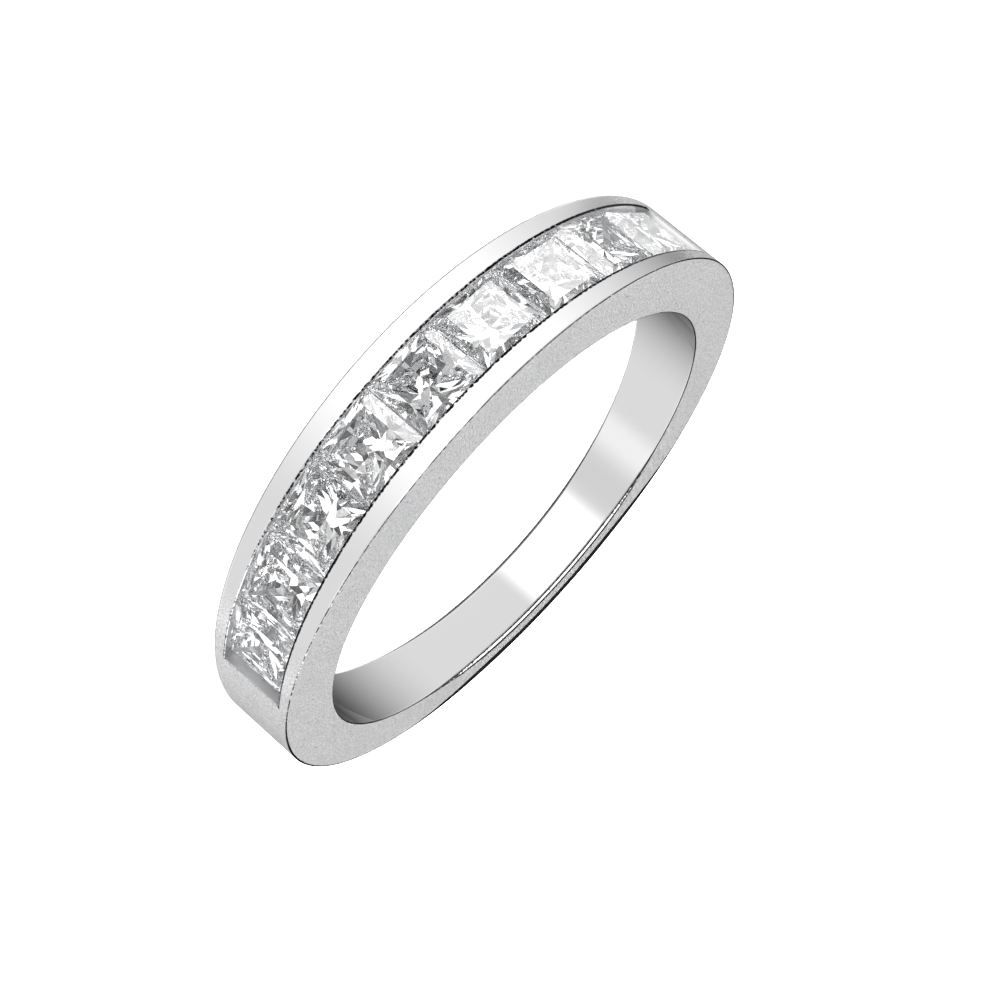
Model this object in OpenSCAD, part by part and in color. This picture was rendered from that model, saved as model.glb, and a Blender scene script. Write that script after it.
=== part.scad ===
// Half-eternity ring: a tapered white-metal band with square diamonds set side by side in a channel.
// It lies on one side face. The origin is the centre of the finger hole, halfway between the side faces.
// +Z is up, and +X points to the middle stone. All sizes are in millimetres.

/* [Band] */
// Diameter of the finger hole
bore_d = 17; // [15:0.25:20]
// Thickness of the band behind the middle stone
top_t = 2.35; // [2.25:0.05:2.7]
// Thickness of the band opposite the stones
bottom_t = 1.6; // [1.4:0.05:1.8]
// Width of the band at the middle stone
top_w = 3.9; // [3.5:0.1:4.5]
// Width of the band opposite the stones
bottom_w = 1.8; // [1.6:0.1:2.4]
// Bevel on the edges of the finger hole
bore_edge = 0.12; // [0.05:0.01:0.2]
// Radius of the rounded outer edges opposite the stones, fading out towards the channel
shank_edge_r = 0.25; // [0.2:0.05:0.6]

/* [Channel] */
// Width of the channel's opening between the two rails
channel_w = 2.38; // [2.36:0.01:2.44]
// Depth of the stones' flat tops below the rails
table_recess = 0.12; // [0.08:0.01:0.14]
// Room between a stone and the metal that holds it
seat_gap = 0.02; // [0.01:0.005:0.03]
// Room between the last stone and the end wall, as an angle
end_angle = 1.5; // [0.5:0.1:2.5]

/* [Stones] */
// Side of each square stone
stone_w = 2.62; // [2.6:0.01:2.64]
// Room between neighbouring stones at their edges
stone_gap = 0.03; // [0.02:0.01:0.06]
// Side of the flat top as a share of the stone's side
table_share = 0.7; // [0.6:0.01:0.78]
// Height of the sloping top facets as a share of the stone's side
crown_share = 0.09; // [0.07:0.01:0.1]
// Thickness of the edge band as a share of the stone's side
girdle_share = 0.03; // [0.02:0.005:0.04]
// Depth of the pointed underside as a share of the stone's side
pavilion_share = 0.5; // [0.46:0.01:0.51]

/* [Hidden] */
stone_count = 9;
metal_colour = [0.86, 0.86, 0.87];
stone_colour = [0.93, 0.96, 1.0];
round_fn = 180;
edge_fn = 48;
spare = 1;

// The outside is a cylinder set off centre, so that the band is thickest at the middle stone.
bore_r = bore_d / 2;
outer_r = bore_r + (top_t + bottom_t) / 2;
outer_shift = (top_t - bottom_t) / 2;
x_top = outer_shift + outer_r;
x_bottom = outer_shift - outer_r;

// The side faces are planes that lean apart towards the stones.
face_slope = (top_w - bottom_w) / (2 * (x_top - x_bottom));
face_angle = atan(face_slope);
mid_w = top_w - 2 * face_slope * x_top;

// Stone heights, counted from the centre of the outside cylinder
half_stone = stone_w / 2;
crown_h = crown_share * stone_w;
girdle_h = girdle_share * stone_w;
pavilion_h = pavilion_share * stone_w;
table_r = outer_r - table_recess;
girdle_top_r = table_r - crown_h;
girdle_low_r = girdle_top_r - girdle_h;
culet_r = girdle_low_r - pavilion_h;

// Neighbouring stones come nearest at the lower rim of their edge bands.
stone_pitch = 2 * atan((stone_w + stone_gap) / 2 / girdle_low_r);
channel_half_angle = stone_count * stone_pitch / 2 + end_angle;

// Midline of the underside: share of the half side, and share of the pavilion's depth there
chevrons = [[0.84, 0.205], [0.58, 0.504], [0.30, 0.77]];
star_out = 0.55;
star_drop = 0.48;

// The groove under the rails takes the edge band of a flat stone lying on a curved seat.
notch_half_w = half_stone + seat_gap;
notch_top_r = norm([girdle_top_r, half_stone]) + 6 * seat_gap;
notch_low_r = girdle_low_r - seat_gap;

// The shank's outer edges are rounded by a disc that is set off centre, so that it clears the channel's ends.
fade_shift = shank_edge_r / (1 + cos(channel_half_angle));
round_lap = shank_edge_r / 10;

// Puts a shape from the band's own frame, in which the finger axis is Z, on its lower side face.
module laid_flat() {
    rotate([0, -face_angle, 0]) children();
}

// Moves a shape from a side face's plane, with Z as that face's outward direction, to that face.
module on_face(side, x_centre) {
    translate([x_centre, 0, side * (mid_w / 2 + face_slope * x_centre)])
        rotate([0, -side * face_angle, 0])
            scale_side(side) children();
}

module scale_side(side) {
    if (side > 0) children();
    else mirror([0, 0, 1]) children();
}

// Cone that takes the sharp edge off one end of the finger hole
module bore_edge_cutter(side) {
    on_face(side, 0)
        rotate_extrude($fn = round_fn)
            polygon([
                [0, -bore_r - bore_edge],
                [bore_r + bore_edge + spare, spare],
                [0, spare]
            ]);
}

// Thick disc that ends at one side face. Its flat part covers the rails, and its round edge takes the corner
// off the shank. The round edge stands a little outside the shank, so that it meets it at a clear angle.
module shank_rounder(side) {
    rounder_r = (outer_r + fade_shift) / cos(face_angle) + round_lap;
    on_face(side, outer_shift + fade_shift)
        rotate_extrude($fn = round_fn)
            union() {
                translate([0, -2 * top_w])
                    square([rounder_r + spare, 2 * top_w - shank_edge_r]);
                translate([0, -2 * shank_edge_r])
                    square([rounder_r - shank_edge_r, 2 * shank_edge_r]);
                translate([rounder_r - shank_edge_r, -shank_edge_r])
                    circle(r = shank_edge_r, $fn = edge_fn);
            }
}

// Cross-section of the channel: opening, notches for the stones' edges, and a V for their undersides
module channel_section() {
    bend = chevrons[1];
    bend_r = girdle_low_r - bend[1] * pavilion_h - 2 * seat_gap;
    bend_half_w = bend[0] * half_stone + 2 * seat_gap;
    floor_r = culet_r - 2 * seat_gap;
    floor_half_w = 4 * seat_gap;
    polygon([
        [outer_r + spare, -channel_w / 2],
        [notch_top_r, -channel_w / 2],
        [notch_top_r, -notch_half_w],
        [notch_low_r, -notch_half_w],
        [bend_r, -bend_half_w],
        [floor_r, -floor_half_w],
        [floor_r, floor_half_w],
        [bend_r, bend_half_w],
        [notch_low_r, notch_half_w],
        [notch_top_r, notch_half_w],
        [notch_top_r, channel_w / 2],
        [outer_r + spare, channel_w / 2]
    ]);
}

module channel() {
    translate([outer_shift, 0, 0])
        rotate([0, 0, -channel_half_angle])
            rotate_extrude(angle = 2 * channel_half_angle, $fn = round_fn)
                channel_section();
}

// Shank, rails and end walls in one piece of metal
module ring_band() {
    color(metal_colour)
        laid_flat()
            difference() {
                intersection() {
                    translate([outer_shift, 0, -top_w])
                        cylinder(r = outer_r, h = 2 * top_w, $fn = round_fn);
                    shank_rounder(1);
                    shank_rounder(-1);
                }
                translate([0, 0, -top_w])
                    cylinder(r = bore_r, h = 2 * top_w, $fn = round_fn);
                bore_edge_cutter(1);
                bore_edge_cutter(-1);
                channel();
            }
}

// Points of a square stone whose flat top lies in the plane z = 0, going round its four sides
function corner(half, z, k) =
    [half * (k == 0 || k == 3 ? 1 : -1), half * (k < 2 ? 1 : -1), z];
function side_point(out, z, k) =
    [out * [1, 0, -1, 0][k], out * [0, 1, 0, -1][k], z];

// Square brilliant: table, star and edge facets on top, an edge band, and rows of chevrons below
module princess_cut() {
    rows = len(chevrons);
    table_half = table_share * half_stone;
    star_r = table_half + star_out * (half_stone - table_half);
    girdle_top_z = -crown_h;
    girdle_low_z = -crown_h - girdle_h;
    culet_z = girdle_low_z - pavilion_h;
    points = concat(
        [for (k = [0:3]) corner(table_half, 0, k)],
        [for (k = [0:3]) side_point(star_r, -star_drop * crown_h, k)],
        [for (k = [0:3]) corner(half_stone, girdle_top_z, k)],
        [for (k = [0:3]) corner(half_stone, girdle_low_z, k)],
        [for (row = chevrons) for (k = [0:3])
            side_point(row[0] * half_stone, girdle_low_z - row[1] * pavilion_h, k)],
        [[0, 0, culet_z]]
    );
    table = 0;
    star = 4;
    upper = 8;
    lower = 12;
    below = 16;
    culet = below + 4 * rows;
    // Side k lies between the corners k - 1 and k, seen from above in counter-clockwise order.
    faces = concat(
        [[table + 3, table + 2, table + 1, table]],
        [for (k = [0:3]) let (j = (k + 3) % 4) each [
            [star + k, table + j, table + k],
            [star + k, table + k, upper + k],
            [star + k, upper + j, table + j],
            [star + k, upper + k, upper + j],
            [upper + j, upper + k, lower + k, lower + j],
            [lower + j, lower + k, below + k]
        ]],
        [for (row = [0:rows - 1]) for (k = [0:3])
            let (
                j = (k + 3) % 4,
                here = below + 4 * row + k,
                next = row < rows - 1 ? here + 4 : culet
            ) each [
                [lower + k, next, here],
                [lower + j, here, next]
            ]]
    );
    polyhedron(points, faces);
}

// Stone number i, counted from the +Y end of the channel
module diamond(i) {
    angle = ((stone_count + 1) / 2 - i) * stone_pitch;
    color(stone_colour)
        laid_flat()
            translate([outer_shift, 0, 0])
                rotate([0, 0, angle])
                    translate([table_r, 0, 0])
                        rotate([0, 90, 0])
                            princess_cut();
}

ring_band();
diamond(1);  // diamond_1
diamond(2);  // diamond_2
diamond(3);  // diamond_3
diamond(4);  // diamond_4
diamond(5);  // diamond_5
diamond(6);  // diamond_6
diamond(7);  // diamond_7
diamond(8);  // diamond_8
diamond(9);  // diamond_9
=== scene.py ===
import math

import bmesh
import bpy
import numpy as np
from mathutils import Matrix, Vector


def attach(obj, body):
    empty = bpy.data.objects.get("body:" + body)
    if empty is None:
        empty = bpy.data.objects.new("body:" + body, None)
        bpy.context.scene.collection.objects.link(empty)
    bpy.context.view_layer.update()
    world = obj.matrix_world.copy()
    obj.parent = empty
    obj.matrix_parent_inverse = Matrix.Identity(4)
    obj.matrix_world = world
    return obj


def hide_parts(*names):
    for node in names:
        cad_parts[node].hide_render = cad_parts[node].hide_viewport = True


# Half-eternity ring with nine square diamonds in a channel, lying on its side face.
# Sizes in the dictionaries are millimetres and degrees. The scene itself is in metres.

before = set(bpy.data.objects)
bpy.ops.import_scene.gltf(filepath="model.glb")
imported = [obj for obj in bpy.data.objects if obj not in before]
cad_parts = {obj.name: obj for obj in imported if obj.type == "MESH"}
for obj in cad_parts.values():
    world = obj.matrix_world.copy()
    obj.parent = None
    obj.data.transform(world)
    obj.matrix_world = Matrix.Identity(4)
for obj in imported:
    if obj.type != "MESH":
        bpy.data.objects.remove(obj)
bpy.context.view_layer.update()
mm = 0.001
print("frame loaded:", sorted(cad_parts))


def linearColour(hexColour):
    # sRGB hex to linear: the low part is a straight line, the rest a power of 2.4.
    channels = [int(hexColour[i:i + 2], 16) / 255 for i in (1, 3, 5)]
    linear = [c / 12.92 if c <= 0.04045 else ((c + 0.055) / 1.055) ** 2.4 for c in channels]
    return (*linear, 1.0)


def newMaterial(name):
    material = bpy.data.materials.new(name)
    material.use_nodes = True
    material.node_tree.nodes.clear()
    return material, material.node_tree


def addNode(tree, kind, settings=None, **links):
    # One node of any kind. A setting is a property of the node or an input's value. A link's name is the
    # input's name with _ for a space, or in0, in1 by number. It takes a socket, a node, which stands for its
    # first output, or a plain value.
    node = tree.nodes.new(kind)
    for name, value in (settings or {}).items():
        if hasattr(node, name):
            setattr(node, name, value)
        else:
            node.inputs[name].default_value = value
    for name, source in links.items():
        socket = node.inputs[int(name[2:]) if name[2:].isdigit() else name.replace("_", " ")]
        if hasattr(source, "outputs"):
            source = source.outputs[0]
        if hasattr(source, "is_output"):
            tree.links.new(source, socket)
        else:
            socket.default_value = source
    return node


# Camera
cameraView = {
    "place": (92.369, 12.846, 38.835),
    "aim": (18.391, 2.443, 8.073),
    "roll": 129.935,       # turn of the picture's right side from level towards up
    "lens": 111.99,
    "sensor": 36,
    "range": (2, 20000),   # nearest and farthest that it sees
}


def makeCamera(view):
    # The picture's right is the level direction times the roll's cosine plus the up direction times its sine.
    place = Vector(view["place"]) * mm
    forward = (Vector(view["aim"]) * mm - place).normalized()
    level = forward.cross(Vector((0, 0, 1))).normalized()
    up = level.cross(forward)
    roll = math.radians(view["roll"])
    right = level * math.cos(roll) + up * math.sin(roll)
    top = right.cross(forward)
    data = bpy.data.cameras.new("ringCamera")
    data.lens = view["lens"]
    data.sensor_width = view["sensor"]
    data.clip_start, data.clip_end = (distance * mm for distance in view["range"])
    camera = bpy.data.objects.new("ringCamera", data)
    axes = Matrix((right, top, -forward)).transposed()
    camera.matrix_world = Matrix.Translation(place) @ axes.to_4x4()
    bpy.context.scene.collection.objects.link(camera)
    bpy.context.scene.camera = camera


makeCamera(cameraView)
print("camera placed")


# White gold, rhodium plated. The finger hole and the rails are mirror polished, with the finest hairlines.
# The side faces and the shank are satin finished on fine abrasive: soft grey sheen with a fine sandy grain.
# The mesh's satinShare tells how far a spot is satin, and the other mark how strong the painted edge shade is
# there.
whiteGoldLook = {
    "polishColour": "#F1F1F2",
    "polishRoughness": (0.03, 0.07),    # between and in the hairlines
    "hairlineSpacing": 0.12,            # real ones are nearer 0.02, drawn coarser so that they show at all
    "hairlineStretch": 50,              # a hairline's length over its spacing
    "hairlineDepth": 0.00006,
    "satinColours": ("#BCBCBD", "#FDFDFE"),
    "satinRoughness": (0.30, 0.40),
    "grain": 0.06,                      # grit marks are nearer 0.04, drawn coarser so that they show
    "grainDepth": 0.008,
    "grainLimits": (0.32, 0.68),        # noise where a spot is a hollow, and where it is a crest
    "pitSpacing": 0.45,                 # sparse tiny pits from the casting
    "pitRadius": (0.05, 0.10),          # of a pit's floor and of its rim, as shares of the spacing
    "pitColour": "#8E8E90",
    "paintedEdgeShadeColour": "#141416",            # painted shade: the crisp edges' dark reflections and the shadow in their gaps, drawn as a dark line
    "edgeShadeBreaks": 0.10,                 # the line comes and goes over this length
    "edgeShadeLimits": (0.95, 1.15),         # noise plus strength where the line begins, and where it is full
}


def makeWhiteGold(look):
    material, tree = newMaterial("whiteGoldPolishedAndSatin")
    place = addNode(tree, "ShaderNodeTexCoord").outputs["Object"]
    satinShare = addNode(tree, "ShaderNodeAttribute", {"attribute_name": "satinShare"}).outputs["Fac"]
    paintedEdgeShade = addNode(tree, "ShaderNodeAttribute", {"attribute_name": "paintedEdgeShade"}).outputs["Fac"]

    # Polish: the hairlines are noise drawn out along the ring.
    lengths = addNode(tree, "ShaderNodeUVMap", {"uv_map": "metalLength"})
    across = 1 / look["hairlineSpacing"]
    along = across / look["hairlineStretch"]
    drawnOut = addNode(tree, "ShaderNodeMapping", {"Scale": (along, across, 1)}, Vector=lengths)
    hairlines = addNode(tree, "ShaderNodeTexNoise", {"Scale": 1.0, "Detail": 3.0}, Vector=drawnOut)
    low, high = look["polishRoughness"]
    polishRough = addNode(tree, "ShaderNodeMapRange", {"To Min": low, "To Max": high}, Value=hairlines)
    hairlineHeight = addNode(tree, "ShaderNodeMapRange", {"To Max": look["hairlineDepth"]}, Value=hairlines)

    # Satin: the grit is noise between two limits, with a few pits.
    grain = addNode(tree, "ShaderNodeTexNoise",
                    {"Scale": 1 / (look["grain"] * mm), "Detail": 3.0, "Roughness": 0.6}, Vector=place)
    low, high = look["grainLimits"]
    grit = addNode(tree, "ShaderNodeMapRange", {"From Min": low, "From Max": high}, Value=grain)
    low, high = look["satinRoughness"]
    satinRough = addNode(tree, "ShaderNodeMapRange", {"To Min": low, "To Max": high}, Value=grit)
    gritHeight = addNode(tree, "ShaderNodeMapRange", {"To Max": look["grainDepth"]}, Value=grit)
    low, high = (linearColour(colour) for colour in look["satinColours"])
    satinColour = addNode(tree, "ShaderNodeMix", {"data_type": "RGBA"},
                          in0=grit, in6=low, in7=high).outputs[2]
    pits = addNode(tree, "ShaderNodeTexVoronoi", {"Scale": 1 / (look["pitSpacing"] * mm)}, Vector=place)
    low, high = look["pitRadius"]
    pitShare = addNode(tree, "ShaderNodeMapRange",
                       {"From Min": low, "From Max": high, "To Min": 1.0, "To Max": 0.0}, Value=pits)
    pitted = addNode(tree, "ShaderNodeMix", {"data_type": "RGBA"},
                     in0=pitShare, in6=satinColour, in7=linearColour(look["pitColour"])).outputs[2]

    # Painted shade along the crisp edges, for their dark reflections and the shadow in their gaps: a strong
    # line is whole, and a weak one is left only where the noise is high.
    breaks = addNode(tree, "ShaderNodeTexNoise", {"Scale": 1 / (look["edgeShadeBreaks"] * mm), "Detail": 1.0},
                     Vector=place)
    level = addNode(tree, "ShaderNodeMath", {"operation": "ADD"}, in0=breaks, in1=paintedEdgeShade)
    low, high = look["edgeShadeLimits"]
    edgeShadeShare = addNode(tree, "ShaderNodeMapRange", {"From Min": low, "From Max": high}, Value=level)

    # The finishes meet by satinShare. The grit's height takes its cube, so it comes later than the dullness.
    plainColour = addNode(tree, "ShaderNodeMix", {"data_type": "RGBA"},
                          in0=satinShare, in6=linearColour(look["polishColour"]), in7=pitted).outputs[2]
    colour = addNode(tree, "ShaderNodeMix", {"data_type": "RGBA"},
                     in0=edgeShadeShare, in6=plainColour, in7=linearColour(look["paintedEdgeShadeColour"])).outputs[2]
    rough = addNode(tree, "ShaderNodeMapRange", Value=satinShare, To_Min=polishRough, To_Max=satinRough)
    grown = addNode(tree, "ShaderNodeMath", {"operation": "POWER"}, in0=satinShare, in1=3.0)
    height = addNode(tree, "ShaderNodeMapRange", Value=grown, To_Min=hairlineHeight, To_Max=gritHeight)
    bump = addNode(tree, "ShaderNodeBump", {"Strength": 1.0, "Distance": mm}, Height=height)
    shader = addNode(tree, "ShaderNodeBsdfPrincipled", {"Metallic": 1.0},
                     Base_Color=colour, Roughness=rough, Normal=bump)
    addNode(tree, "ShaderNodeOutputMaterial", Surface=shader)
    return material


# White gold inside the channel: cut bright with a graver, with fine tool marks that make it a little dull
cutMetalLook = {
    "colour": "#F1F1F2",
    "roughness": (0.25, 0.35),
    "toolMarks": 0.15,             # spacing of the graver's marks
}


def makeCutMetal(look):
    material, tree = newMaterial("whiteGoldCut")
    place = addNode(tree, "ShaderNodeTexCoord").outputs["Object"]
    marks = addNode(tree, "ShaderNodeTexNoise", {"Scale": 1 / (look["toolMarks"] * mm), "Detail": 2.0},
                    Vector=place)
    low, high = look["roughness"]
    rough = addNode(tree, "ShaderNodeMapRange", {"To Min": low, "To Max": high}, Value=marks)
    shader = addNode(tree, "ShaderNodeBsdfPrincipled",
                     {"Base Color": linearColour(look["colour"]), "Metallic": 1.0}, Roughness=rough)
    addNode(tree, "ShaderNodeOutputMaterial", Surface=shader)
    return material


# Colourless diamond, polished: clear, with hard bright and dark reflections of its own facets
diamondLook = {
    "colours": ("#FBFCFE", "#FFFFFF"),
    "ior": 2.417,
    "cloudSize": 0.8,              # size of the faint growth clouds in the stone
}


def makeDiamond(look):
    material, tree = newMaterial("diamondPolished")
    place = addNode(tree, "ShaderNodeTexCoord").outputs["Object"]
    cloud = addNode(tree, "ShaderNodeTexNoise", {"Scale": 1 / (look["cloudSize"] * mm), "Detail": 1.0},
                    Vector=place)
    low, high = (linearColour(colour) for colour in look["colours"])
    tone = addNode(tree, "ShaderNodeMix", {"data_type": "RGBA"}, in0=cloud, in6=low, in7=high).outputs[2]
    shader = addNode(tree, "ShaderNodeBsdfPrincipled",
                     {"Roughness": 0.0, "IOR": look["ior"], "Transmission Weight": 1.0}, Base_Color=tone)
    addNode(tree, "ShaderNodeOutputMaterial", Surface=shader)
    return material


# The band
band = {
    "boreRadius": 8.5,
    "outerRadius": 10.475,
    "outerShift": 0.375,           # the outside's axis lies this far towards the middle stone
    "topWidth": 3.9,
    "bottomWidth": 1.8,
    "edge": 0.03,                  # rounding of the crisp edges
    "shankEdge": 0.05,             # rounding of the shank's outer edges
    "shankBlend": 15.0,            # turn over which a rail's edge becomes the shank's
    "bottomSpan": (135.0, 165.0),  # where the shank's bottom begins to change, and where it has changed
    "bottomBevel": (0.28, 0.06),   # width and depth that wear adds to the finger hole's edges at the bottom
    "bottomRoll": 5.0,             # radius of the soft roll-off on the side faces at the bottom
    "bottomRollTilt": 6.5,         # how far the side faces have turned down at the roll-off's end
    "railPolish": (46.0, 66.0),    # where the rails' polish begins to fade, and where it has become satin
    "satinInset": (0.01, 0.015),   # the satin ends this far from the side face's inner and outer edge
    "rowTurn": 1.0,                # turn from one cross-section to the next
    "weld": 0.00002,               # points nearer than this are made one
    "sharpAngle": 32,              # edges sharper than this stay crisp
}
# Strength of the painted shade line at each kind of edge: a painted dark reflection on the creases, the
# finger hole's edge and the side face's outline, and a painted shadow in the gap along the channel's lips.
# Turns from the middle stone, and the strengths there
paintedEdgeShades = {
    "crease": ((-180, -90, -60, -40, 0, 60, 80, 95, 180),
               (1.0, 0.95, 0.85, 0.8, 0.62, 0.58, 0.60, 0.95, 1.0)),
    "creaseBelow": ((-100, -70, -40, 40, 70, 100), (1.2, 1.2, 0.5, 0.5, 1.2, 1.2)),
    "bore": ((-180, -110, -70, -50, -40, 40, 50, 70, 110, 180),
             (0.9, 1.0, 1.0, 0.8, 0.6, 0.5, 0.6, 0.9, 1.0, 0.9)),
    "outline": ((-155, -140, -95, -80, 80, 95, 140, 155), (0, 0.9, 0.9, 0, 0, 0.9, 0.9, 0)),
    "lip": ((-70, -45, -15, 20, 45, 70), (1.0, 0.85, 0.72, 0.75, 0.85, 1.0)),
    "lipBelow": ((-40, 20, 50), (1.0, 0.8, 0.5)),
}
# Where the painted shade lines lie, and how strong they are
edgeShadeDetails = {
    "below": 0.4,                  # share of a line's strength that is left on the mirrored lower half
    "lipJags": 0.85,               # share of the lip's line that strays in dashes onto the upper rail
    "bevelShade": 0.38,            # painted dark reflection on the worn bevel
    "bevelReach": (0.07, 0.09),    # the line past the worn bevel is whole up to here, and ends here
    "outlineReach": 0.06,          # the line on the side face's outer edge ends this far in
}
# The channel and the stones' seats, from the same sizes as the frame's solids
channel = {
    "width": 2.38,
    "lip": 0.05,
    "stone": 2.62,
    "stoneCount": 9,
    "stoneGap": 0.03,
    "seatGap": 0.02,
    "endTurn": 1.5,                # room between the last stone and the end wall
    "recess": 0.12,                # depth of the stones' flat tops below the rails
    "crownShare": 0.09,            # heights as shares of the stone's side
    "girdleShare": 0.03,
    "pavilionShare": 0.5,
    "bend": (0.58, 0.504),         # share of the half side, and share of the pavilion's depth there
}


def channelSection(look, outer):
    # Radius and half width of the opening, the notch for the stones' edges, and the V under them, and the
    # channel's reach from the middle stone. A stone takes twice the angle whose tangent is half its side and
    # gap over the radius of its edge's lower rim.
    half = look["stone"] / 2
    gap = look["seatGap"]
    opening = look["width"] / 2
    girdleTop = outer - look["recess"] - look["crownShare"] * look["stone"]
    girdleLow = girdleTop - look["girdleShare"] * look["stone"]
    depth = look["pavilionShare"] * look["stone"]
    notchTop = math.hypot(girdleTop, half) + 6 * gap
    bendWidth, bendDepth = look["bend"]
    floor = girdleLow - depth - 2 * gap
    section = [
        (notchTop, opening),
        (notchTop, half + gap),
        (girdleLow - gap, half + gap),
        (girdleLow - bendDepth * depth - 2 * gap, bendWidth * half + 2 * gap),
        (floor, 4 * gap),
        (floor, 0.0),
    ]
    pitch = 2 * math.degrees(math.atan((look["stone"] + look["stoneGap"]) / 2 / girdleLow))
    return section, look["stoneCount"] * pitch / 2 + look["endTurn"]


def bandRows(look, lip, end):
    # Angles about the outside's axis, one row each: inside the channel, then its end wall's small round lip,
    # then the plain shank, then the other lip. A row tells if it is inside, and how far the lip has sunk: its
    # radius times 1 less the cosine of its turn.
    reach = math.degrees(lip / look["outerRadius"])
    inside = np.linspace(-end, end, round(2 * end / look["rowTurn"]) + 1)
    turns = np.radians([90, 60, 30, 0])
    lipAngles = end + reach * (1 - np.sin(turns))
    lipSinks = lip * (1 - np.cos(turns))
    shank = np.linspace(end + reach, 360 - end - reach, round((360 - 2 * end) / look["rowTurn"]) + 1)[1:-1]
    angles = np.concatenate([inside, lipAngles, shank, 360 - lipAngles[::-1]])
    isInside = np.arange(len(angles)) < len(inside)
    sinks = np.concatenate([0 * inside, lipSinks, 0 * shank, lipSinks[::-1]])
    return np.radians(angles), isInside, sinks


def sideSlope(look):
    # How much half the width grows over a length towards the middle stone
    return (look["topWidth"] - look["bottomWidth"]) / (4 * look["outerRadius"])


def bandSurface(look, edgeShadeLook, details, channelLook):
    # For each angle about the outside's axis a closed cross-section: up the finger hole's wall, round its
    # edge, out over the side face, down the rolled edge, over the outside, into the channel to its middle,
    # and back mirrored. A side face is a plane: its height is half the middle width plus the slope times x.
    # Round edges are arcs: the sine and cosine of their turn, times their radius.
    outer = look["outerRadius"]
    shift = look["outerShift"]
    lip = channelLook["lip"]
    section, end = channelSection(channelLook, outer)
    angles, isInside, sinks = bandRows(look, lip, end)
    cosine = np.cos(angles)
    slope = sideSlope(look)
    middle = (look["topWidth"] + look["bottomWidth"]) / 2 - 2 * slope * shift
    turned = np.degrees(np.mod(angles + np.pi, 2 * np.pi) - np.pi)

    def faceHeight(radius):
        return middle / 2 + slope * (shift + radius * cosine)

    def rise(low, high):
        # Smooth step of the turn away from the middle stone: 3 t squared less 2 t cubed
        t = np.clip((np.abs(turned) - low) / (high - low), 0, 1)
        return t * t * (3 - 2 * t)

    shank = rise(end, end + look["shankBlend"])
    bottom = rise(*look["bottomSpan"])
    outsideSatin = rise(*look["railPolish"])
    lines = {name: np.interp(turned, *strengths) for name, strengths in edgeShadeLook.items()}
    columns = []
    cuts = []

    def addColumn(radius, height, satin=0.0, line=0.0, below=details["below"], cut=False):
        # One line of points round the ring: radius, height, satin share, and strength of the painted shade
        # line above and on the mirrored half below
        columns.append([value + 0 * angles for value in (radius, height, satin, line, below * line)])
        cuts.append(cut)

    # The finger hole's wall, as shares of its height, and its edge
    boreWall = -shift * cosine + np.sqrt(look["boreRadius"] ** 2 - (shift * np.sin(angles)) ** 2)
    bevelWidth = look["edge"] + look["bottomBevel"][0] * bottom
    bevelDepth = look["edge"] + look["bottomBevel"][1] * bottom
    for share in (0, 0.35, 0.7, 0.9, 0.97, 1):
        addColumn(boreWall, share * (faceHeight(boreWall) - bevelDepth))
    for turn in (15, 30, 45, 60, 75, 90):
        radius = boreWall + bevelWidth * (1 - math.cos(math.radians(turn)))
        height = faceHeight(radius) - bevelDepth * (1 - math.sin(math.radians(turn)))
        # Painted dark reflection on the finger hole's edge; at the bottom a weaker one on the worn bevel
        bevelShadeStrength = lines["bore"] * (1 - bottom) + details["bevelShade"] * bottom
        addColumn(radius, height, 0.0, lines["bore"] if turn == 15 else bevelShadeStrength)

    # The side face
    tilt = np.radians(look["bottomRollTilt"]) * bottom
    edge = look["edge"] + (look["shankEdge"] - look["edge"]) * shank
    roll = look["bottomRoll"]
    innerInset, outerInset = look["satinInset"]
    wholeReach, endReach = details["bevelReach"]
    faceStart = boreWall + bevelWidth
    faceEnd = outer - roll * np.sin(tilt) - edge * (1 - np.sin(tilt))
    # Painted dark reflection: the finger hole's edge line goes on past the worn bevel, and a line lies along
    # the side face's outer edge at the bottom
    for reach, strength in ((0, 1), (wholeReach, 1), (endReach, 0)):
        radius = faceStart + innerInset + reach * bottom
        addColumn(radius, faceHeight(radius), 1.0, strength * lines["bore"] * bottom)
    for share in (0.3, 0.6):
        radius = faceStart + share * (faceEnd - faceStart)
        addColumn(radius, faceHeight(radius), 1.0)
    for reach, strength in ((details["outlineReach"], 0), (outerInset, 1)):
        radius = faceEnd - reach
        addColumn(radius, faceHeight(radius), 1.0, strength * lines["outline"])

    # The roll-off, as shares of its tilt, and the outer edge, as shares of the rest of its quarter turn
    # The crease carries a painted dark reflection, which fades out on the roll-off towards the bottom
    for share in (0, 0.2, 0.4, 0.6, 0.8, 1):
        radius = faceEnd + roll * np.sin(share * tilt)
        height = faceHeight(radius) - roll * (1 - np.cos(share * tilt))
        addColumn(radius, height, 0.0, lines["crease"] * (1 - bottom), lines["creaseBelow"])
    for share in np.linspace(0.125, 1, 8):
        turn = tilt + share * (np.pi / 2 - tilt)
        radius = faceEnd + roll * np.sin(tilt) + edge * (np.sin(turn) - np.sin(tilt))
        height = faceHeight(radius) - roll * (1 - np.cos(tilt)) - edge * (np.cos(tilt) - np.cos(turn))
        strength = lines["crease"] if share < 1 else 0.0
        addColumn(radius, height, share * outsideSatin * (1 - bottom), strength, lines["creaseBelow"])
    outsideTop = columns[-1][1]

    # The rail's or shank's outside, as shares of the way to the lip, and the lip. Where the shank is
    # narrower than the channel, the points are squeezed together to stay on it.
    opening = channelLook["width"] / 2
    squeeze = np.minimum(1, (outsideTop - look["edge"]) / (opening + lip))
    lipShare = np.maximum(isInside, sinks / lip)
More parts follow.
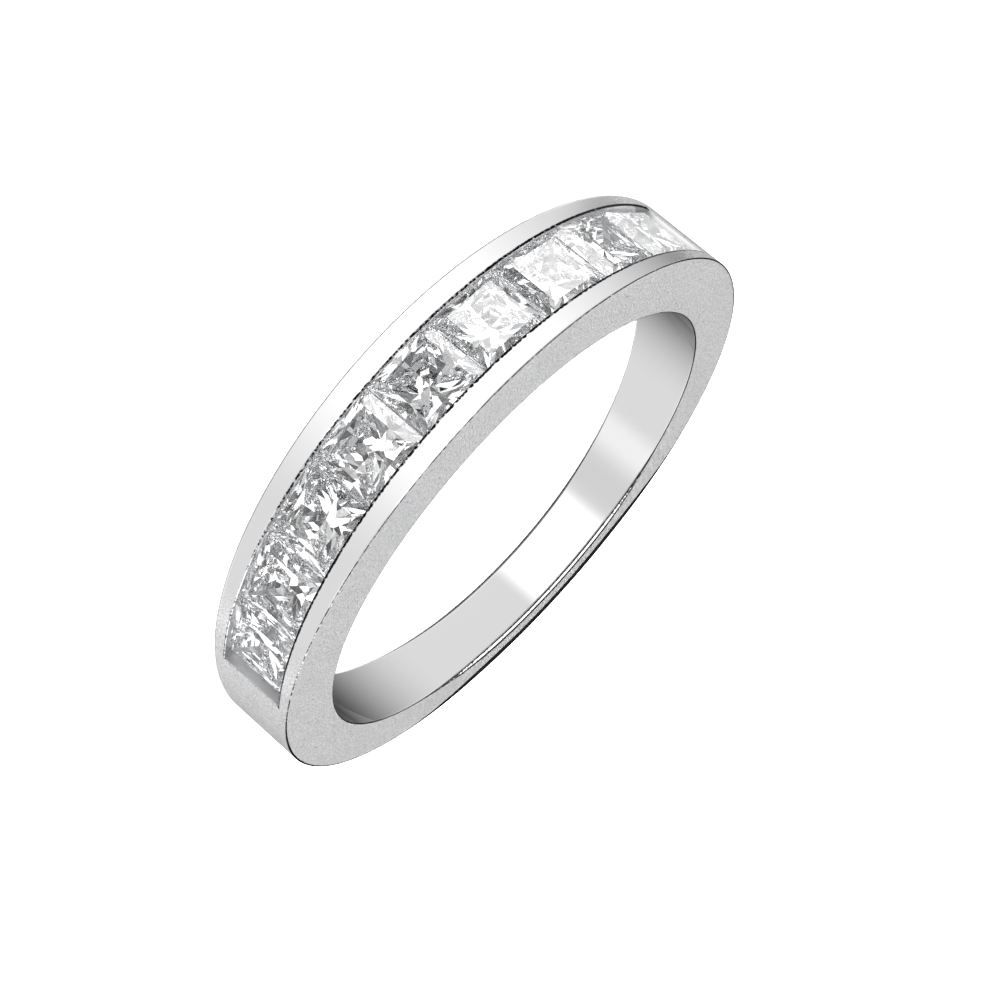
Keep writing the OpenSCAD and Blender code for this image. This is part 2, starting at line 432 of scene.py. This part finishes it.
    # Painted shadow of the gap between the rail and the stones, as a dark line along the channel's lip
    lipShadow = lines["lip"] * lipShare
    for share, jags in ((0.06, 0), (0.3, 0), (0.7, 0), (0.87, 0), (0.94, details["lipJags"])):
        height = outsideTop + share * ((opening + lip) * squeeze - outsideTop)
        addColumn(outer, height, outsideSatin, jags * lipShadow, 0.0)
    for turn in np.radians([0, 22.5, 45, 67.5, 90]):
        radius = outer - lip * (1 - np.cos(turn)) * lipShare
        height = (opening + lip * (1 - np.sin(turn))) * squeeze
        addColumn(radius, height, np.where(isInside, 0, outsideSatin), lipShadow, lines["lipBelow"])

    # The channel's inside, or the plain shank between the lips
    for number, (radius, height) in enumerate(section, 1):
        plainHeight = opening * squeeze * (1 - number / len(section))
        addColumn(np.where(isInside, radius, outer - sinks), np.where(isInside, height, plainHeight),
                  outsideSatin, cut=True)

    def closed(upper, lower):
        # The first and the last column lie on the middle plane, and aren't repeated.
        return np.concatenate([upper, lower[:, -2:0:-1]], axis=1)

    radii, heights, satins, upperLines, lowerLines = np.array(columns).transpose(1, 2, 0)
    radii = closed(radii, radii)
    x = shift + radii * cosine[:, None]
    y = radii * np.sin(angles)[:, None]
    points = np.stack([x, y, closed(heights, -heights)], axis=2)
    marks = {"satinShare": closed(satins, satins), "paintedEdgeShade": closed(upperLines, lowerLines)}
    return points, marks, np.array(cuts + cuts[-2:0:-1]), angles, isInside


def closedGrid(rows, columns):
    # Quads between row i and i + 1 and column j and j + 1, both counted round, as vertex numbers
    i, j = np.meshgrid(np.arange(rows), np.arange(columns), indexing="ij")
    nextRow = (i + 1) % rows
    nextColumn = (j + 1) % columns
    corners = [(i, j), (nextRow, j), (nextRow, nextColumn), (i, nextColumn)]
    return np.stack([row * columns + column for row, column in corners], axis=2).reshape(-1, 4)


def gridLengths(points, angles, outer):
    # Lengths in millimetres at each quad's corners: along the ring, the angle times the outside's radius, and
    # across it, the sum of the cross-section's steps
    rows, columns = points.shape[:2]
    along = np.append(angles, angles[0] + 2 * math.pi) * outer
    steps = np.linalg.norm(np.diff(points, axis=1, append=points[:, :1]), axis=2)
    across = np.concatenate([np.zeros((rows, 1)), np.cumsum(steps, axis=1)], axis=1)
    across = np.concatenate([across, across[:1]], axis=0)
    i, j = np.meshgrid(np.arange(rows), np.arange(columns), indexing="ij")
    return np.stack([np.stack([along[i + a], across[i + a, j + b]], axis=2)
                     for a, b in ((0, 0), (1, 0), (1, 1), (0, 1))], axis=2)


def layFlat(points, look):
    # Turn about Y by the side faces' slope, which brings the lower side face level.
    turn = math.atan(sideSlope(look))
    x = points[..., 0] * math.cos(turn) - points[..., 2] * math.sin(turn)
    z = points[..., 0] * math.sin(turn) + points[..., 2] * math.cos(turn)
    return np.stack([x, points[..., 1], z], axis=-1)


def makeBand(look, edgeShadeLook, details, channelLook, materials):
    points, marks, cuts, angles, isInside = bandSurface(look, edgeShadeLook, details, channelLook)
    rows, columns = points.shape[:2]
    mesh = bpy.data.meshes.new("ringBand")
    mesh.from_pydata(layFlat(points, look).reshape(-1, 3) * mm, [], closedGrid(rows, columns))
    lengths = gridLengths(points, angles, look["outerRadius"])
    layer = mesh.uv_layers.new(name="metalLength")
    layer.data.foreach_set("uv", lengths.reshape(-1).astype(np.float32))
    for name, values in marks.items():
        mark = mesh.attributes.new(name, "FLOAT", "POINT")
        mark.data.foreach_set("value", values.reshape(-1).astype(np.float32))
    opensIn = isInside | np.roll(isInside, -1)
    isCut = (cuts | np.roll(cuts, -1))[None, :] & opensIn[:, None]
    mesh.polygons.foreach_set("material_index", isCut.reshape(-1).astype(np.int32))
    mesh.polygons.foreach_set("use_smooth", np.ones(rows * columns, dtype=bool))
    for material in materials:
        mesh.materials.append(material)
    work = bmesh.new()
    work.from_mesh(mesh)
    bmesh.ops.remove_doubles(work, verts=work.verts, dist=look["weld"] * mm)
    bmesh.ops.recalc_face_normals(work, faces=work.faces)
    print("band volume in mm3:", work.calc_volume() / mm ** 3, "faces:", len(work.faces))
    work.to_mesh(mesh)
    work.free()
    mesh.set_sharp_from_angle(angle=math.radians(look["sharpAngle"]))
    piece = bpy.data.objects.new("ringBand", mesh)
    bpy.context.scene.collection.objects.link(piece)
    return piece


bandMaterials = [makeWhiteGold(whiteGoldLook), makeCutMetal(cutMetalLook)]
bandPiece = makeBand(band, paintedEdgeShades, edgeShadeDetails, channel, bandMaterials)
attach(bandPiece, "root")
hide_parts("ring_band")
print("band made")

diamond = makeDiamond(diamondLook)
for name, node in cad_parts.items():
    if name.startswith("diamond_"):
        node.data.materials.clear()
        node.data.materials.append(diamond)
print("diamonds finished")


# Floor: pale paper, dull, with a faint mottle
studioFloor = {
    "height": -1.409,
    "size": 3000,
    "colour": "#F4F4F4",
    "mottle": 2.5,            # size of the paper's faint spots
    "mottleShade": 0.985,     # brightness of the darker spots, as a share of the colour's
}


def makeFloor(look):
    material, tree = newMaterial("paleFloor")
    place = addNode(tree, "ShaderNodeTexCoord").outputs["Object"]
    mottle = addNode(tree, "ShaderNodeTexNoise", {"Scale": 1 / (look["mottle"] * mm), "Detail": 2.0},
                     Vector=place)
    high = linearColour(look["colour"])
    low = (*(part * look["mottleShade"] for part in high[:3]), 1.0)
    tone = addNode(tree, "ShaderNodeMix", {"data_type": "RGBA"}, in0=mottle, in6=low, in7=high).outputs[2]
    shader = addNode(tree, "ShaderNodeBsdfPrincipled", {"Roughness": 0.9, "Specular IOR Level": 0.1},
                     Base_Color=tone)
    addNode(tree, "ShaderNodeOutputMaterial", Surface=shader)
    half = look["size"] / 2 * mm
    corners = [(-half, -half), (half, -half), (half, half), (-half, half)]
    mesh = bpy.data.meshes.new("floor")
    mesh.from_pydata([(x, y, look["height"] * mm) for x, y in corners], [], [(0, 1, 2, 3)])
    mesh.materials.append(material)
    floor = bpy.data.objects.new("floor", mesh)
    bpy.context.scene.collection.objects.link(floor)
    # The metal and the stones mirror the studio's air, not the sheet they lie on.
    floor.visible_glossy = False
    floor.visible_transmission = False


# A square lamp high over the ring, for the floor. The metal and the stones don't mirror it.
overheadBox = {
    "place": (-60, 0, 500),
    "target": (0, 0, 0),
    "size": (620, 620),
    "brightness": 9.0,
}


def makeSoftBox(name, look):
    # A lamp's power is its face's brightness times pi times its area.
    data = bpy.data.lights.new(name, "AREA")
    data.shape = "RECTANGLE"
    data.size, data.size_y = (side * mm for side in look["size"])
    data.energy = look["brightness"] * math.pi * data.size * data.size_y
    light = bpy.data.objects.new(name, data)
    light.location = Vector(look["place"]) * mm
    toward = Vector(look["target"]) * mm - light.location
    light.rotation_euler = toward.to_track_quat("-Z", "Y").to_euler()
    light.visible_glossy = False
    light.visible_transmission = False
    bpy.context.scene.collection.objects.link(light)


# The studio's air: fields of light and shade by direction. A panel is: compass angle of its middle, half
# width, soft edge, lowest and highest height, soft edge, brightness. 0 is the middle stone's side, 90 the
# first stone's, 180 the back. Heights are angles over the ring's own middle plane. A later panel lies over
# an earlier one.
metalField = {
    "plain": 0.80,
    "panels": {
        "backGlow": (180, 70, 40, -75, -24.5, 1, 1.4),
        "backGlowHigh": (180, 70, 40, -14.5, -8, 1, 1.4),
        "backShade": (-165, 12, 80, -21.6, -16, 0.6, 0.09),
        "sideDip": (46, 3, 10, -19.9, -6, 0.4, 0.72),
        "sideGlow": (68, 2, 12, -19.9, -6, 0.4, 1.0),
        "frontWindow": (9, 16, 12, -19.9, -6, 0.4, 1.6),
        "lowWindow": (-18, 5, 75, -60, -20.4, 0.5, 1.35),
        "underside": (0, 180, 0, -90, -40, 8, 0.25),
        "upper": (0, 180, 0, 18, 90, 6, 0.60),
        "upperShade": (180, 65, 25, 18, 100, 4, 0.12),
        "horizon": (180, 55, 25, -6, 19, 3, 0.02),
        "upperBack": (180, 70, 40, 27, 50, 4, 2.15),
    },
}
# What the stones send on: lamps, and dark flags between them
stoneField = {
    "plain": 0.70,
    "panels": {
        "upper": (0, 180, 0, 10, 90, 5, 1.0),
        "leftLamp": (-50, 20, 12, -20, 90, 5, 1.7),
        "rightLamp": (57, 17, 12, -20, 90, 5, 2.2),
        "leftBackLamp": (-112, 14, 8, -50, 90, 5, 1.7),
        "rightBackLamp": (115, 14, 8, -50, 90, 5, 1.7),
        "backLamp": (180, 16, 8, -50, 90, 5, 1.7),
        "rightLow": (75, 35, 15, -60, -18, 5, 1.5),
        "leftFlag": (-84, 5, 4, -90, 70, 5, 0.03),
        "rightFlag": (86, 5, 4, -90, 70, 5, 0.03),
        "leftFrontFlag": (-20, 4, 4, -90, 70, 5, 0.2),
        "rightFrontFlag": (30, 4, 4, -90, 70, 5, 0.03),
        "leftBackFlag": (-146, 5, 4, -90, 70, 5, 0.03),
        "rightBackFlag": (148, 5, 4, -90, 70, 5, 0.03),
        "lensShade": (7, 14, 14, 4, 60, 5, 0.25),
        "lens": (8, 9, 4, -18, 44, 4, 0.02),
    },
}
# What the stones' flat tops mirror
tableField = {
    "plain": 0.45,
    "panels": {
        "lens": (-7, 10, 8, -60, 10, 5, 0.03),
        "hazeLamp": (-52, 22, 15, -60, 10, 5, 3.0),
        "hazeEnd": (-126, 12, 12, -60, 10, 5, 1.3),
    },
}
airLevels = {
    "seenByCamera": 0.92,     # past the floor's edge
    "secondMirror": 0.45,     # share of the metal's field that is left when the metal mirrors itself
}


def makeAir(forMetal, forStones, forTables, levels, turn):
    world = bpy.data.worlds.new("studioAir")
    world.use_nodes = True
    tree = world.node_tree
    tree.nodes.clear()

    # The direction is turned into the ring's own frame. Its height is the arc sine of z, and its compass part
    # is the direction with z left out, brought back to length 1.
    place = addNode(tree, "ShaderNodeTexCoord").outputs["Generated"]
    turned = addNode(tree, "ShaderNodeVectorRotate", {"rotation_type": "Y_AXIS", "Angle": turn}, Vector=place)
    z = addNode(tree, "ShaderNodeSeparateXYZ", Vector=turned).outputs["Z"]
    arcSine = addNode(tree, "ShaderNodeMath", {"operation": "ARCSINE"}, in0=z)
    height = addNode(tree, "ShaderNodeMath", {"operation": "DEGREES"}, in0=arcSine)
    level = addNode(tree, "ShaderNodeVectorMath", {"operation": "MULTIPLY"}, in0=turned, in1=(1, 1, 0))
    compass = addNode(tree, "ShaderNodeVectorMath", {"operation": "NORMALIZE"}, in0=level)

    def panelShare(middle, halfWidth, softWidth, lowest, highest, softHeight):
        # Product of smooth steps: in at the lowest height, out at the highest, and out away from the middle,
        # where the angle is the arc cosine of the dot product with the middle's direction
        edges = [(height, lowest - softHeight, lowest), (height, highest + softHeight, highest)]
        if halfWidth < 180:
            middleWay = (math.cos(math.radians(middle)), math.sin(math.radians(middle)), 0)
            toward = addNode(tree, "ShaderNodeVectorMath", {"operation": "DOT_PRODUCT"},
                             in0=compass, in1=middleWay).outputs["Value"]
            arc = addNode(tree, "ShaderNodeMath", {"operation": "ARCCOSINE"}, in0=toward)
            away = addNode(tree, "ShaderNodeMath", {"operation": "DEGREES"}, in0=arc)
            edges.append((away, halfWidth + softWidth, halfWidth))
        steps = [addNode(tree, "ShaderNodeMapRange", {"interpolation_type": "SMOOTHSTEP"},
                         Value=value, From_Min=out, From_Max=full) for value, out, full in edges]
        share = steps[0]
        for step in steps[1:]:
            share = addNode(tree, "ShaderNodeMath", {"operation": "MULTIPLY"}, in0=share, in1=step)
        return share

    def field(look):
        result = look["plain"]
        for *shape, brightness in look["panels"].values():
            share = panelShare(*shape)
            result = addNode(tree, "ShaderNodeMapRange", Value=share, To_Min=result, To_Max=brightness)
        return result

    # The kind of ray tells what sent it: a diamond's facet mirrors sharply, so its rays are singular, and
    # light that comes out of a stone is transmitted. What the metal mirrors for the second time is dimmed.
    ray = addNode(tree, "ShaderNodeLightPath").outputs
    again = addNode(tree, "ShaderNodeMapRange", {"From Min": 1.0, "From Max": 2.0, "To Min": 1.0},
                    Value=ray["Glossy Depth"], To_Max=levels["secondMirror"])
    result = addNode(tree, "ShaderNodeMath", {"operation": "MULTIPLY"}, in0=field(forMetal), in1=again)
    for kind, sent in (("Is Singular Ray", field(forTables)), ("Is Transmission Ray", field(forStones)),
                       ("Is Camera Ray", levels["seenByCamera"])):
        result = addNode(tree, "ShaderNodeMapRange", Value=ray[kind], To_Min=result, To_Max=sent)
    shine = addNode(tree, "ShaderNodeBackground", {"Color": (1, 1, 1, 1)}, Strength=result)
    addNode(tree, "ShaderNodeOutputWorld", Surface=shine)
    bpy.context.scene.world = world


# Light passes from facet to facet many times in a stone, and each time counts.
lightPaths = {
    "max_bounces": 64,
    "glossy_bounces": 48,
    "transmission_bounces": 32,
    "caustics_reflective": False,
    "caustics_refractive": False,
}

makeFloor(studioFloor)
makeSoftBox("overheadBox", overheadBox)
makeAir(metalField, stoneField, tableField, airLevels, math.atan(sideSlope(band)))
scene = bpy.context.scene
scene.view_settings.view_transform = "Standard"
for name, value in lightPaths.items():
    setattr(scene.cycles, name, value)
print("studio ready")
